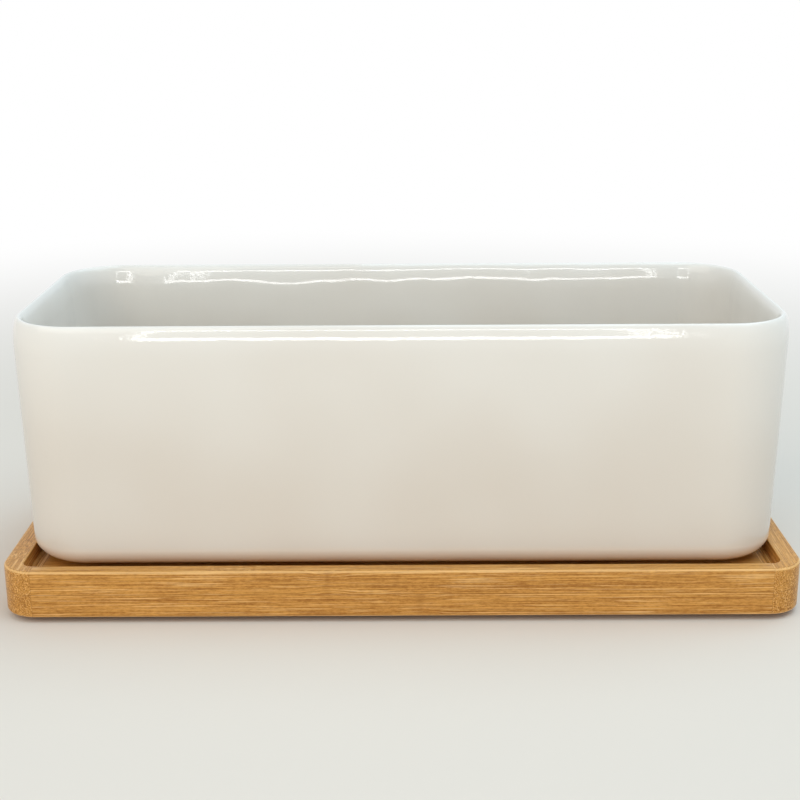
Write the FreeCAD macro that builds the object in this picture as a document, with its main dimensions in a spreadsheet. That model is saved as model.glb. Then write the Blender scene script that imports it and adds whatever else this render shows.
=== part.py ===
import FreeCAD, Part
import math
import os

import Sketcher

# Indoor herb planter: a rectangular glazed pot that stands loose in the shallow recess of a bamboo
# drip tray on four small bumpers, with a round mesh screen over each drain hole.
# Millimetres. +X runs to the right along the length, the front faces -Y, +Z is up, and the origin
# is on the table, under the middle of the tray.

DRIVING_SIZES = (
    # The tray, glued up from strips of bamboo and then shaped and routed as one block
    ("tray_thickness", 16.5, "tray, without its bumpers"),
    ("tray_corner", 11.5, "radius of the tray's outer corners, seen from above"),
    ("end_strip", 11.0, "width of the cross strips that close the two ends"),
    ("long_strip", 11.0, "width of the front and back strips"),
    ("end_rim", 7.0, "width of the rim left standing at each end"),
    ("long_rim", 5.5, "width of the rim left standing at front and back"),
    ("end_gap", 1.14, "gap beside the pot at each end, at the rim's height"),
    ("side_gap", 5.89, "gap before and behind the pot, at the rim's height"),
    ("recess_depth", 5.0, "depth of the routed recess"),
    ("recess_corner", 4.0, "radius of the router bit in the recess's corners"),
    ("rim_bevel", 0.8, "eased outer top edge of the tray"),
    ("recess_bevel", 0.5, "eased edge round the mouth of the recess"),
    ("underside_bevel", 0.9, "bevel round the tray's underside"),
    # The bumpers stuck to the tray's underside
    ("bumper_diameter", 10.0, "bumper, across its stuck-on face"),
    ("bumper_height", 2.0, "bumper, thickness"),
    ("bumper_taper", 0.7, "how much the bumper's side draws in towards its sole"),
    ("bumper_end_inset", 24.0, "bumper's middle from the tray's end"),
    ("bumper_side_inset", 20.0, "bumper's middle from the tray's front or back"),
    # The pot, slip-cast and glazed
    ("pot_length", 261.5, "pot over its lip, end to end"),
    ("pot_width", 109.0, "pot over its lip, front to back"),
    ("pot_height", 86.5, "pot, from foot ring to lip"),
    ("pot_corner", 23.0, "radius of the pot's upright corners at the lip"),
    ("draw_in", 2.1, "how much each wall leans in on its way down"),
    ("wall", 5.0, "thickness of the pot's walls"),
    ("floor_thickness", 5.0, "thickness of the pot's floor"),
    ("base_round", 9.0, "round between the walls and the underside"),
    ("inner_round", 10.0, "round between the inner walls and the floor"),
    ("lip_outer_share", 0.38, "radius of the lip's outer round, as a share of the wall"),
    ("lip_inner_share", 0.58, "radius of the lip's softer inner round, as a share of the wall"),
    # The foot ring under the pot, left bare of glaze
    ("ring_height", 1.5, "height of the foot ring"),
    ("ring_width", 4.0, "width of the foot ring"),
    ("ring_inset", 1.0, "foot ring in from the edge of the flat underside"),
    ("notch_width", 9.0, "width of the drip notches through the foot ring"),
    # The drain holes through the floor
    ("drain_diameter", 12.0, "drain hole, across"),
    ("drain_spacing", 132.0, "drain holes, middle to middle"),
    ("drain_bevel", 0.8, "fettled edge of a drain hole"),
    # The mesh screens that keep the soil in
    ("screen_diameter", 34.0, "screen, across"),
    ("screen_thickness", 1.2, "thickness of the screen"),
    ("screen_border", 1.6, "least width of the plain border round the net"),
    ("mesh_opening", 2.7, "one square gap of the net, across"),
    ("mesh_pitch", 3.9, "from gap to gap"),
    # Working values
    ("overrun", 5.0, "how far a cutting or dividing block runs past the piece"),
)

SAME_LEVEL = 1e-4
QUARTER_TURN = math.pi / 2

# Heights in the pot's own frame, where zero is the underside of its foot ring
BODY_BOTTOM = "Sizes.ring_height"
FLOOR_TOP = "(Sizes.ring_height + Sizes.floor_thickness)"
LIP = "Sizes.pot_height"
LEAN = "atan(Sizes.draw_in / (Sizes.pot_height - Sizes.ring_height))"

# Heights in the part's frame
TRAY_BOTTOM = "Sizes.bumper_height"
RECESS_FLOOR = "(Sizes.bumper_height + Sizes.tray_thickness - Sizes.recess_depth)"


def drawn_in(level):
    """How far the pot's leaning wall lies inside its lip at a height of the pot's own frame."""
    return f"(Sizes.draw_in * ({LIP} - {level}) / ({LIP} - {BODY_BOTTOM}))"


# The recess takes the pot's length and width at the height of the tray's rim, where the round of
# the base has begun, with a gap all round, and the tray is the recess and its rims
RIM_ABOVE_BASE = f"(Sizes.recess_depth - {BODY_BOTTOM})"
BASE_TUCK = f"(Sizes.base_round - sqrt(Sizes.base_round^2 - (Sizes.base_round - {RIM_ABOVE_BASE})^2))"
POT_AT_RIM = f"({drawn_in('Sizes.recess_depth')} + {BASE_TUCK})"
RECESS_LENGTH = f"(Sizes.pot_length - 2 * {POT_AT_RIM} + 2 * Sizes.end_gap)"
RECESS_WIDTH = f"(Sizes.pot_width - 2 * {POT_AT_RIM} + 2 * Sizes.side_gap)"
TRAY_LENGTH = f"({RECESS_LENGTH} + 2 * Sizes.end_rim)"
TRAY_WIDTH = f"({RECESS_WIDTH} + 2 * Sizes.long_rim)"

doc = FreeCAD.newDocument("herb_planter")
sheet = doc.addObject("Spreadsheet::Sheet", "Sizes")


def fill_sheet():
    """One row for each driving size: what it is, and its value under its alias."""
    for row, (alias, value, meaning) in enumerate(DRIVING_SIZES, start=1):
        sheet.set(f"A{row}", meaning)
        sheet.set(f"B{row}", str(value))
        sheet.setAlias(f"B{row}", alias)
    doc.recompute()


def bind(target, **expressions):
    """Tie properties to the sheet. Two underscores in a name stand for a dot."""
    for name, expression in expressions.items():
        target.setExpression(name.replace("__", "."), expression)


def plane(body, role):
    """The body's own origin plane or axis of this role."""
    return next(feature for feature in body.Origin.OriginFeatures if feature.Role == role)


def new_body(label):
    body = doc.addObject("PartDesign::Body", label)
    body.Label = label
    return body


def new_sketch(body, name, role="XY_Plane", level=None):
    """A sketch on one of the body's origin planes, lifted to the given level."""
    sketch = body.newObject("Sketcher::SketchObject", name)
    sketch.AttachmentSupport = (plane(body, role), [""])
    sketch.MapMode = "FlatFace"
    if level:
        bind(sketch, AttachmentOffset__Base__z=level)
    return sketch


def constrain(sketch, name, expression, *what):
    """A named dimension of a sketch, tied to the sheet."""
    index = sketch.addConstraint(Sketcher.Constraint(*what, sketch.evalExpression(expression)))
    sketch.renameConstraint(index, name)
    sketch.setExpression(f"Constraints.{name}", expression)


def add_line(sketch, start, end):
    """A straight edge between two points of the sketch, and its number there."""
    points = [FreeCAD.Vector(x, y, 0) for x, y in (start, end)]
    return sketch.addGeometry(Part.LineSegment(*points), False)


def add_quarter(sketch, centre, radius, turn):
    """A quarter circle that starts the given number of quarter turns round from +X."""
    circle = Part.Circle(FreeCAD.Vector(*centre, 0), FreeCAD.Vector(0, 0, 1), radius)
    arc = Part.ArcOfCircle(circle, turn * QUARTER_TURN, (turn + 1) * QUARTER_TURN)
    return sketch.addGeometry(arc, False)


def join(sketch, kind, edges):
    """Tie the end of each edge to the start of the next."""
    for this, following in zip(edges, edges[1:]):
        sketch.addConstraint(Sketcher.Constraint(kind, this, 2, following, 1))


def hold_straight(sketch, level_edges, upright_edges):
    for direction, edges in (("Horizontal", level_edges), ("Vertical", upright_edges)):
        for edge in edges:
            sketch.addConstraint(Sketcher.Constraint(direction, edge))


def add_rounded_loop(sketch, tag, length, width, radius):
    """A rectangle with round corners about the origin: four lines and four arcs, all tangent."""
    across = sketch.evalExpression(length) / 2
    deep = sketch.evalExpression(width) / 2
    bend = sketch.evalExpression(radius)
    x, y = across - bend, deep - bend
    loop = [
        add_line(sketch, (-x, -deep), (x, -deep)), add_quarter(sketch, (x, -y), bend, -1),
        add_line(sketch, (across, -y), (across, y)), add_quarter(sketch, (x, y), bend, 0),
        add_line(sketch, (x, deep), (-x, deep)), add_quarter(sketch, (-x, y), bend, 1),
        add_line(sketch, (-across, y), (-across, -y)), add_quarter(sketch, (-x, -y), bend, 2),
    ]
    join(sketch, "Tangent", loop + loop[:1])
    hold_straight(sketch, loop[::4], loop[2::4])
    corners = loop[1::2]
    for other in corners[1:]:
        sketch.addConstraint(Sketcher.Constraint("Equal", corners[0], other))
    sketch.addConstraint(Sketcher.Constraint("Symmetric", corners[0], 3, corners[2], 3, -1, 1))
    constrain(sketch, f"{tag}_radius", radius, "Radius", corners[0])
    spans = (("length", length, "DistanceX", corners[3], corners[0]),
             ("width", width, "DistanceY", corners[0], corners[1]))
    for name, size, kind, near, far in spans:
        constrain(sketch, f"{tag}_{name}", f"{size} - 2 * ({radius})", kind, near, 3, far, 3)


def add_circle(sketch, tag, diameter, x="0"):
    """A circle on the sketch's horizontal axis."""
    centre = FreeCAD.Vector(sketch.evalExpression(x), 0, 0)
    circle = Part.Circle(centre, FreeCAD.Vector(0, 0, 1), sketch.evalExpression(diameter) / 2)
    index = sketch.addGeometry(circle, False)
    constrain(sketch, f"{tag}_diameter", diameter, "Diameter", index)
    if x == "0":
        sketch.addConstraint(Sketcher.Constraint("Coincident", index, 3, -1, 1))
    else:
        sketch.addConstraint(Sketcher.Constraint("PointOnObject", index, 3, -1))
        constrain(sketch, f"{tag}_place", x, "DistanceX", -1, 1, index, 3)


def add_box_loop(sketch, tag, length, width, x="0"):
    """A plain rectangle about a point of the sketch's horizontal axis."""
    middle = sketch.evalExpression(x)
    across = sketch.evalExpression(length) / 2
    deep = sketch.evalExpression(width) / 2
    low, high = middle - across, middle + across
    corners = [(low, -deep), (high, -deep), (high, deep), (low, deep)]
    loop = [add_line(sketch, start, end) for start, end in zip(corners, corners[1:] + corners[:1])]
    join(sketch, "Coincident", loop + loop[:1])
    hold_straight(sketch, loop[::2], loop[1::2])
    constrain(sketch, f"{tag}_length", length, "DistanceX", loop[0], 1, loop[0], 2)
    constrain(sketch, f"{tag}_width", width, "DistanceY", loop[1], 1, loop[1], 2)
    constrain(sketch, f"{tag}_start", f"{x} - ({length}) / 2", "DistanceX", -1, 1, loop[0], 1)
    constrain(sketch, f"{tag}_front", f"-({width}) / 2", "DistanceY", -1, 1, loop[0], 1)


def feature(body, kind, name, profile=None):
    made = body.newObject(f"PartDesign::{kind}", name)
    if profile:
        made.Profile = profile
        profile.Visibility = False
    return made


def cut(body, name, profile, depth, upward=False):
    """A pocket that is checked to have taken material away."""
    doc.recompute()
    before = body.Shape.Volume
    pocket = feature(body, "Pocket", name, profile)
    bind(pocket, Length=depth)
    pocket.Reversed = upward
    doc.recompute()
    if not body.Shape.Volume < before:
        raise RuntimeError(f"{name} cuts nothing")
    return pocket


def face_at(shape, level):
    """The largest flat face that lies at this height."""
    flat = [
        face for face in shape.Faces
        if all(abs(vertex.Z - level) < SAME_LEVEL for vertex in face.Vertexes)
    ]
    return max(flat, key=lambda face: face.Area)


def outer_edges(face):
    return face.OuterWire.Edges


def inner_edges(face):
    """The edges of a face's holes."""
    return [edge for wire in face.Wires if not wire.isSame(face.OuterWire) for edge in wire.Edges]


def hole_edges(face):
    """The full circles among the edges of a face's holes."""
    return [edge for edge in inner_edges(face) if edge.isClosed()]


def ease(body, name, level, which_edges, radius, kind="Fillet"):
    """Round or bevel edges of the largest flat face at a level, on the body as it stands."""
    doc.recompute()
    tip = body.Tip
    chosen = which_edges(face_at(tip.Shape, level))
    names = [
        f"Edge{n}" for n, edge in enumerate(tip.Shape.Edges, start=1)
        if any(edge.isSame(one) for one in chosen)
    ]
    eased = feature(body, kind, name)
    eased.Base = (tip, names)
    bind(eased, **{"Radius" if kind == "Fillet" else "Size": radius})
    doc.recompute()
    return eased


def make_tray_block():
    """The glued-up tray before it is divided into its strips: shaped outside, routed inside."""
    body = new_body("tray_block")
    outline = new_sketch(body, "tray_outline")
    add_rounded_loop(outline, "tray", TRAY_LENGTH, TRAY_WIDTH, "Sizes.tray_corner")
    slab = feature(body, "Pad", "tray_slab", outline)
    bind(slab, Length="Sizes.tray_thickness")

    recess = new_sketch(body, "recess_outline", level="Sizes.tray_thickness")
    add_rounded_loop(recess, "recess", RECESS_LENGTH, RECESS_WIDTH, "Sizes.recess_corner")
    cut(body, "tray_recess", recess, "Sizes.recess_depth")

    top = sheet.tray_thickness
    ease(body, "rim_easing", top, outer_edges, "Sizes.rim_bevel", "Chamfer")
    ease(body, "recess_easing", top, inner_edges, "Sizes.recess_bevel", "Chamfer")
    ease(body, "underside_edge", 0, outer_edges, "Sizes.underside_bevel", "Chamfer")
    return body


def make_strip(label, block, x, y, length, width):
    """One strip of the tray: what the block and the strip's own stock have in common."""
    stock = doc.addObject("Part::Box", f"{label}_stock")
    bind(stock, Length=length, Width=width, Height="Sizes.tray_thickness + 2 * Sizes.overrun",
         Placement__Base__x=x, Placement__Base__y=y, Placement__Base__z="-Sizes.overrun")
    strip = doc.addObject("Part::Common", label)
    strip.Base = block
    strip.Tool = stock
    strip.Label = label
    bind(strip, Placement__Base__z=TRAY_BOTTOM)
    return strip


def make_tray():
    block = make_tray_block()
    end = f"{TRAY_LENGTH} / 2"
    side = f"{TRAY_WIDTH} / 2"
    whole_width = f"{TRAY_WIDTH} + 2 * Sizes.overrun"
    between_ends = f"{TRAY_LENGTH} - 2 * Sizes.end_strip"
    inner_end = f"Sizes.end_strip - {end}"
    return [
        make_strip("left_rail", block, f"-{end} - Sizes.overrun", f"-{side} - Sizes.overrun",
                   "Sizes.end_strip + Sizes.overrun", whole_width),
        make_strip("right_rail", block, f"{end} - Sizes.end_strip", f"-{side} - Sizes.overrun",
                   "Sizes.end_strip + Sizes.overrun", whole_width),
        make_strip("front_rail", block, inner_end, f"-{side} - Sizes.overrun",
                   between_ends, "Sizes.long_strip + Sizes.overrun"),
        make_strip("back_rail", block, inner_end, f"{side} - Sizes.long_strip",
                   between_ends, "Sizes.long_strip + Sizes.overrun"),
        make_strip("tray_board", block, inner_end, f"Sizes.long_strip - {side}",
                   between_ends, f"{TRAY_WIDTH} - 2 * Sizes.long_strip"),
    ]


def make_bumper(label, end_sign, side_sign):
    """A round stick-on bumper with a drawn-in side, turned from its half section."""
    body = new_body(label)
    section = new_sketch(body, f"{label}_section", "XZ_Plane")
    radius, height = sheet.bumper_diameter / 2, sheet.bumper_height
    corners = [(0, 0), (radius - sheet.bumper_taper, 0), (radius, height), (0, height)]
    lines = [add_line(section, *ends) for ends in zip(corners, corners[1:] + corners[:1])]
    sole, side, top, core = lines
    join(section, "Coincident", lines + lines[:1])
    hold_straight(section, (sole, top), (core,))
    section.addConstraint(Sketcher.Constraint("Coincident", sole, 1, -1, 1))
    constrain(section, "radius", "Sizes.bumper_diameter / 2", "DistanceX", top, 2, top, 1)
    constrain(section, "height", "Sizes.bumper_height", "DistanceY", core, 2, core, 1)
    constrain(section, "taper", "Sizes.bumper_taper", "DistanceX", side, 1, side, 2)
    turned = feature(body, "Revolution", f"{label}_turned", section)
    turned.ReferenceAxis = (section, ["V_Axis"])
    bind(body,
         Placement__Base__x=f"{end_sign} * ({TRAY_LENGTH} / 2 - Sizes.bumper_end_inset)",
         Placement__Base__y=f"{side_sign} * ({TRAY_WIDTH} / 2 - Sizes.bumper_side_inset)")
    return body


def pot_loop(level, offset="0"):
    """Length, width and corner radius of the pot's outline at a height, moved in by an offset."""
    inset = f"({drawn_in(level)} + {offset})"
    return (f"(Sizes.pot_length - 2 * {inset})", f"(Sizes.pot_width - 2 * {inset})",
            f"(Sizes.pot_corner - {inset})")


def pot_section(body, name, level, offset="0"):
    section = new_sketch(body, name, level=level)
    add_rounded_loop(section, name, *pot_loop(level, offset))
    return section


def make_pot():
    """The pot: a leaning round-cornered box, hollowed, rounded at base, floor and lip."""
    body = new_body("pot")
    outside = feature(body, "Pad", "pot_outside", pot_section(body, "base_outline", BODY_BOTTOM))
    bind(outside, Length=f"{LIP} - {BODY_BOTTOM}", TaperAngle=LEAN)
    ease(body, "base_rounding", sheet.ring_height, outer_edges, "Sizes.base_round")
    mouth = pot_section(body, "mouth_outline", LIP, "Sizes.wall")
    hollow = cut(body, "pot_hollow", mouth, f"{LIP} - {FLOOR_TOP}")
    bind(hollow, TaperAngle=f"-{LEAN}")
    floor_top = sheet.ring_height + sheet.floor_thickness
    ease(body, "floor_rounding", floor_top, outer_edges, "Sizes.inner_round")
    lip = sheet.pot_height
    ease(body, "outer_lip_round", lip, outer_edges, "Sizes.wall * Sizes.lip_outer_share")
    ease(body, "inner_lip_round", lip, inner_edges, "Sizes.wall * Sizes.lip_inner_share")

    ring = new_sketch(body, "ring_outline")
    ring_edge = "Sizes.base_round + Sizes.ring_inset"
    add_rounded_loop(ring, "outer", *pot_loop(BODY_BOTTOM, ring_edge))
    add_rounded_loop(ring, "inner", *pot_loop(BODY_BOTTOM, f"{ring_edge} + Sizes.ring_width"))
    foot_ring = feature(body, "Pad", "foot_ring", ring)
    bind(foot_ring, Length="Sizes.ring_height")
    doc.recompute()

    notches = new_sketch(body, "notch_outline")
    for tag, place in (("left", "-Sizes.drain_spacing / 2"), ("right", "Sizes.drain_spacing / 2")):
        add_box_loop(notches, tag, "Sizes.notch_width", "Sizes.pot_width", place)
    cut(body, "drip_notches", notches, "Sizes.ring_height", upward=True)

    drain = new_sketch(body, "drain_outline")
    add_circle(drain, "drain", "Sizes.drain_diameter", "Sizes.drain_spacing / 2")
    hole = cut(body, "drain_hole", drain, f"{FLOOR_TOP} + Sizes.overrun", upward=True)
    pair = feature(body, "Mirrored", "drain_holes")
    pair.Originals = [hole]
    pair.MirrorPlane = (plane(body, "YZ_Plane"), [""])
    body.Tip = pair
    doc.recompute()
    ease(body, "drain_mouths", floor_top, hole_edges, "Sizes.drain_bevel", "Chamfer")
    ease(body, "drain_outlets", sheet.ring_height, hole_edges, "Sizes.drain_bevel", "Chamfer")
    bind(body, Placement__Base__z=RECESS_FLOOR)
    return body


def add_gap(sketch, x, y, half):
    """One square gap of the net, about its place in the grid."""
    corners = [(x - half, y - half), (x + half, y - half), (x + half, y + half), (x - half, y + half)]
    for start, end in zip(corners, corners[1:] + corners[:1]):
        add_line(sketch, start, end)


def make_screen(label, sign):
    """A round moulded screen: a square net inside a plain border, laid over a drain hole."""
    body = new_body(label)
    disc = new_sketch(body, f"{label}_outline")
    add_circle(disc, "screen", "Sizes.screen_diameter")
    plate = feature(body, "Pad", f"{label}_plate", disc)
    bind(plate, Length="Sizes.screen_thickness")

    gaps = new_sketch(body, f"{label}_gap_grid")
    reach = sheet.screen_diameter / 2 - sheet.screen_border
    half = sheet.mesh_opening / 2
    steps = int(reach / sheet.mesh_pitch)
    for column in range(-steps, steps + 1):
        for row in range(-steps, steps + 1):
            x, y = column * sheet.mesh_pitch, row * sheet.mesh_pitch
            if math.hypot(abs(x) + half, abs(y) + half) < reach:
                add_gap(gaps, x, y, half)
    cut(body, f"{label}_net", gaps, "Sizes.screen_thickness", upward=True)
    bind(body, Placement__Base__x=f"{sign} * Sizes.drain_spacing / 2",
         Placement__Base__z=f"{RECESS_FLOOR} + {FLOOR_TOP}")
    return body


def check(pieces):
    """Every feature has to have worked, and every piece has to be one sound solid."""
    for item in doc.Objects:
        if "Invalid" in item.State or "Error" in item.State:
            raise RuntimeError(f"{item.Label} failed: {item.State}")
    for piece in pieces:
        if piece.Shape.isNull() or not piece.Shape.isValid() or len(piece.Shape.Solids) != 1:
            raise RuntimeError(f"{piece.Label} isn't one sound solid")


def write(pieces):
    os.makedirs("parts", exist_ok=True)
    for piece in pieces:
        piece.Shape.exportStep(f"parts/{piece.Label}.step")
        box = piece.Shape.optimalBoundingBox(False)
        print(f"{piece.Label:22s} {piece.Shape.Volume:10.1f} mm3"
              f"  x {box.XMin:8.2f} {box.XMax:8.2f}  y {box.YMin:7.2f} {box.YMax:7.2f}"
              f"  z {box.ZMin:7.2f} {box.ZMax:7.2f}")


fill_sheet()
all_pieces = make_tray()
for end_name, end_side in (("left", -1), ("right", 1)):
    for side_name, side_side in (("front", -1), ("back", 1)):
        all_pieces.append(make_bumper(f"bumper_{side_name}_{end_name}", end_side, side_side))
all_pieces.append(make_pot())
for end_name, end_side in (("left", -1), ("right", 1)):
    all_pieces.append(make_screen(f"drain_screen_{end_name}", end_side))
doc.recompute()
check(all_pieces)
write(all_pieces)
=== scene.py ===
# %% [markdown]
# # An indoor herb planter
#
# The planter is a white glazed pot that stands loose in the shallow recess of a bamboo drip tray.
# This script dresses the packed model of it. The model brings twelve plain pieces at their real size,
# and each cell below gives one of them its rounded edges and its finish, or lights the result.
# Everything is in metres, with the length along X, the front towards -Y and the table at Z = 0.

import math

import bmesh
import bpy
from mathutils import Matrix, Vector


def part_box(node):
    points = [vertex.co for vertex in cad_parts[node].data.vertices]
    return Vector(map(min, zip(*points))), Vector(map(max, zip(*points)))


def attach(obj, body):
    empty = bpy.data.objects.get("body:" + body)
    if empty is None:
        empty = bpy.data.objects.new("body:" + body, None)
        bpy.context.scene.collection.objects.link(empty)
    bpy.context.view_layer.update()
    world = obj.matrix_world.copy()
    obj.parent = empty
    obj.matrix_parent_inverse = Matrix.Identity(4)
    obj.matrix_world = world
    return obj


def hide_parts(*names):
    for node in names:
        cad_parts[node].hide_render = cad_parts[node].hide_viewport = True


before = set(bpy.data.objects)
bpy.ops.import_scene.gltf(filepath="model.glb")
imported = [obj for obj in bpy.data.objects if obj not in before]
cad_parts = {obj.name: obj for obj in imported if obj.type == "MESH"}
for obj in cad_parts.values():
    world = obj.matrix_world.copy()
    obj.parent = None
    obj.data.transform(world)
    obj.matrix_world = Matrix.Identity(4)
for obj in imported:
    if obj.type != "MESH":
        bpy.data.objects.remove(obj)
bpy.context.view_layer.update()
MM = 0.001

# %% [markdown]
# ## The camera
#
# The photograph was taken from a little above the planter, with the tray nearly filling the picture.
# A camera's view is its place, its turn and its lens. The values here come from matching the outlines
# of the lip and the tray, so no shift of the lens is needed. The turn is written as three simple turns
# in a row, because that reads like the way one aims a camera on a tripod.

# %% Aim the camera
CAMERA_PLACE = Vector((1.2, -491.8, 205.0)) * MM
TILT_DOWN, TURN_LEFT, ROLL = (math.radians(angle) for angle in (16.49, 0.19, -0.33))
LENS, SENSOR = 63.0, 36.0

camera = bpy.data.objects.new("camera", bpy.data.cameras.new("camera"))
camera.data.lens = LENS
camera.data.sensor_width = SENSOR
camera.matrix_world = (
    Matrix.Translation(CAMERA_PLACE)
    @ Matrix.Rotation(TURN_LEFT, 4, "Z")
    @ Matrix.Rotation(math.pi / 2 - TILT_DOWN, 4, "X")
    @ Matrix.Rotation(ROLL, 4, "Z")
)
bpy.context.scene.collection.objects.link(camera)
bpy.context.scene.camera = camera
bpy.context.scene.view_settings.view_transform = "Standard"
print("camera", round(CAMERA_PLACE.length, 3), "m from the point under the planter's middle")

# %% [markdown]
# ## Rings and skins
#
# The pot and the tray have the same kind of shape: an outline with round corners that grows or shrinks
# on its way up. A lathe can't turn that, but a stack of outlines can be skinned. Each outline starts as
# a grid of one face, whose four corners are bevelled into arcs. All rings have the same number of
# points, so bridging two of them gives clean quads with no twist.

# %% Outlines
CORNER_STEPS = 20
CIRCLE_STEPS = 48


def flat_face(bm, length, width, centre):
    """The four corners of a new rectangular face."""
    corners = bmesh.ops.create_grid(bm, x_segments=1, y_segments=1, size=0.5)["verts"]
    bmesh.ops.scale(bm, vec=(length, width, 1), verts=corners)
    bmesh.ops.translate(bm, vec=centre, verts=corners)
    return corners


def edges_of_new_face(bm, before):
    """Takes away the one face that wasn't there before and returns the edges it leaves."""
    face = (set(bm.faces) - before).pop()
    ring = list(face.edges)
    bmesh.ops.delete(bm, geom=[face], context="FACES_ONLY")
    return ring


def rounded_ring(bm, length, width, radius, height):
    """The edges of a rectangle with round corners, about the origin."""
    before = set(bm.faces)
    corners = flat_face(bm, length, width, (0, 0, height))
    bmesh.ops.bevel(bm, geom=corners, offset=radius, offset_type="OFFSET", segments=CORNER_STEPS,
                    profile=0.5, affect="VERTICES", material=-1)
    return edges_of_new_face(bm, before)


def circle_ring(bm, centre, radius, height):
    """The edges of a circle about a point of the table."""
    points = bmesh.ops.create_circle(bm, cap_ends=False, segments=CIRCLE_STEPS, radius=radius)["verts"]
    bmesh.ops.translate(bm, vec=(*centre, height), verts=points)
    return list({edge for point in points for edge in point.link_edges})


print("a ring has", 4 * (CORNER_STEPS + 1), "points")

# %% [markdown]
# ## Rounds
#
# Every edge of the planter is round, and every round here is a quarter of a circle or of an ellipse.
# An ellipse can leave the wall slowly and turn over quickly at the top, as the glazed lip does. A bevel
# on the finished mesh reaches equally far on both its sides, so the rounds are rings of the stack.

# %% Skins and quarters


def skin(bm, rings):
    """Bridges each ring to the next."""
    for near, far in zip(rings, rings[1:]):
        bmesh.ops.bridge_loops(bm, edges=near + far)


def quarter(across, up, steps):
    """A quarter of an ellipse that leaves an upright wall: how far in, and how far still to rise."""
    angles = [math.pi / 2 * step / steps for step in range(steps + 1)]
    return [(across * (1 - math.cos(angle)), up * (1 - math.sin(angle))) for angle in angles]


print("a round of 1 in 2 steps:", [[round(part, 2) for part in point] for point in quarter(1, 1, 2)])

# %% [markdown]
# ## From bmesh to object
#
# Each finished bmesh becomes an object at the origin, with its place in its mesh. Edges sharper than
# a limit stay crisp and all others are shaded smooth. The Weighted Normal modifier lets the large
# faces decide the shading beside a small round, as they do to the eye. Each face also stores the way
# it faces, because the finish of the bamboo has to know where a strip is sawn across and where a
# highlight is painted on its rounds.

# %% Finish a mesh
CRISP_ANGLE = math.radians(35)


def make_piece(bm, name, body, slot, *nodes):
    """Turns a bmesh into a piece that rides on a body and stands for CAD nodes."""
    bmesh.ops.recalc_face_normals(bm, faces=bm.faces)
    for edge in bm.edges:
        edge.smooth = len(edge.link_faces) == 2 and edge.calc_face_angle() < CRISP_ANGLE
    for face in bm.faces:
        face.smooth = True
    open_edges = sum(not edge.is_manifold for edge in bm.edges)
    mesh = bpy.data.meshes.new(name)
    bm.to_mesh(mesh)
    bm.free()
    facing = mesh.attributes.new("facing", "FLOAT_VECTOR", "FACE")
    for face, value in zip(mesh.polygons, facing.data):
        value.vector = face.normal
    piece = bpy.data.objects.new(name, mesh)
    bpy.context.scene.collection.objects.link(piece)
    shading = piece.modifiers.new("weighted_normals", "WEIGHTED_NORMAL")
    shading.keep_sharp = True
    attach(piece, body)
    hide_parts(*nodes)
    print(f"{name}: {len(mesh.polygons)} faces, {open_edges} open edges")
    return piece


print("edges stay crisp from", round(math.degrees(CRISP_ANGLE)), "degrees")

# %% [markdown]
# ## The pot's walls
#
# The pot is slip-cast: liquid clay sets against a plaster mould in an even wall, and then the pot is
# glazed and fired. So its shape is one skin of even thickness. The walls lean in a little towards the
# base so that the pot leaves its mould, and the corners follow with a shrinking radius. One could
# model a box and bevel it, but a profile walked from the base over the lip to the inner floor keeps
# every round under control.

# %% The pot's sizes
pot_low, pot_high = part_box("pot")
LIP = pot_high.z
FOOT = pot_low.z
RING_HEIGHT = 1.5 * MM
BODY_BOTTOM = FOOT + RING_HEIGHT
FLOOR_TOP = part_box("drain_screen_left")[0].z
WALL = 5.0 * MM
POT_CORNER = 23.0 * MM
DRAW_IN = 2.1 * MM
BASE_ROUND, BASE_RISE = 9.0 * MM, 7.0 * MM
INNER_ROUND = 10.0 * MM
LIP_OUTER, LIP_OUTER_DROP = 2.4 * MM, 10.0 * MM
LIP_INNER, LIP_INNER_DROP = 2.6 * MM, 10.0 * MM
ROUND_STEPS = 14
WALL_STEPS = 6


def pot_ring(bm, inset, height):
    """The pot's outline at a height, moved in by an inset."""
    inset += DRAW_IN * (LIP - height) / (LIP - BODY_BOTTOM)
    length, width = (pot_high.x - pot_low.x, pot_high.y - pot_low.y)
    return rounded_ring(bm, length - 2 * inset, width - 2 * inset, POT_CORNER - inset, height)


def levels(low, high):
    """Heights for the rings of a plain wall, without its two ends."""
    return [low + (high - low) * step / WALL_STEPS for step in range(1, WALL_STEPS)]


print("the pot is", round((LIP - FOOT) / MM, 1), "mm high")

# %% [markdown]
# ## The pot's profile
#
# Cut through, the wall is one line: round the base, up the outside, over the lip, down the inside and
# round to the inner floor. Each point of the line is an inset and a height, and becomes one ring. The
# lip is two tall ellipses, back to back, because the photograph's highlights lie well below its top.

# %% Walk the profile
base = [(inset, BODY_BOTTOM + rest)
        for inset, rest in quarter(BASE_ROUND, BASE_RISE, ROUND_STEPS)]
outer_lip = [(inset, LIP - rest)
             for inset, rest in quarter(LIP_OUTER, LIP_OUTER_DROP, ROUND_STEPS)]
inner_lip = [(WALL - inset, LIP - rest)
             for inset, rest in quarter(LIP_INNER, LIP_INNER_DROP, ROUND_STEPS)]
hollow = [(WALL + inset, FLOOR_TOP + rest)
          for inset, rest in quarter(INNER_ROUND, INNER_ROUND, ROUND_STEPS)]
outside = [(0, height) for height in levels(BODY_BOTTOM + BASE_RISE, LIP - LIP_OUTER_DROP)]
inside = [(WALL, height) for height in reversed(levels(FLOOR_TOP + INNER_ROUND, LIP - LIP_INNER_DROP))]
profile = base[::-1] + outside + outer_lip + inner_lip[-2::-1] + inside + hollow

pot_mesh = bmesh.new()
pot_rings = [pot_ring(pot_mesh, *point) for point in profile]
skin(pot_mesh, pot_rings)
print("the pot's profile has", len(profile), "rings")

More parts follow.
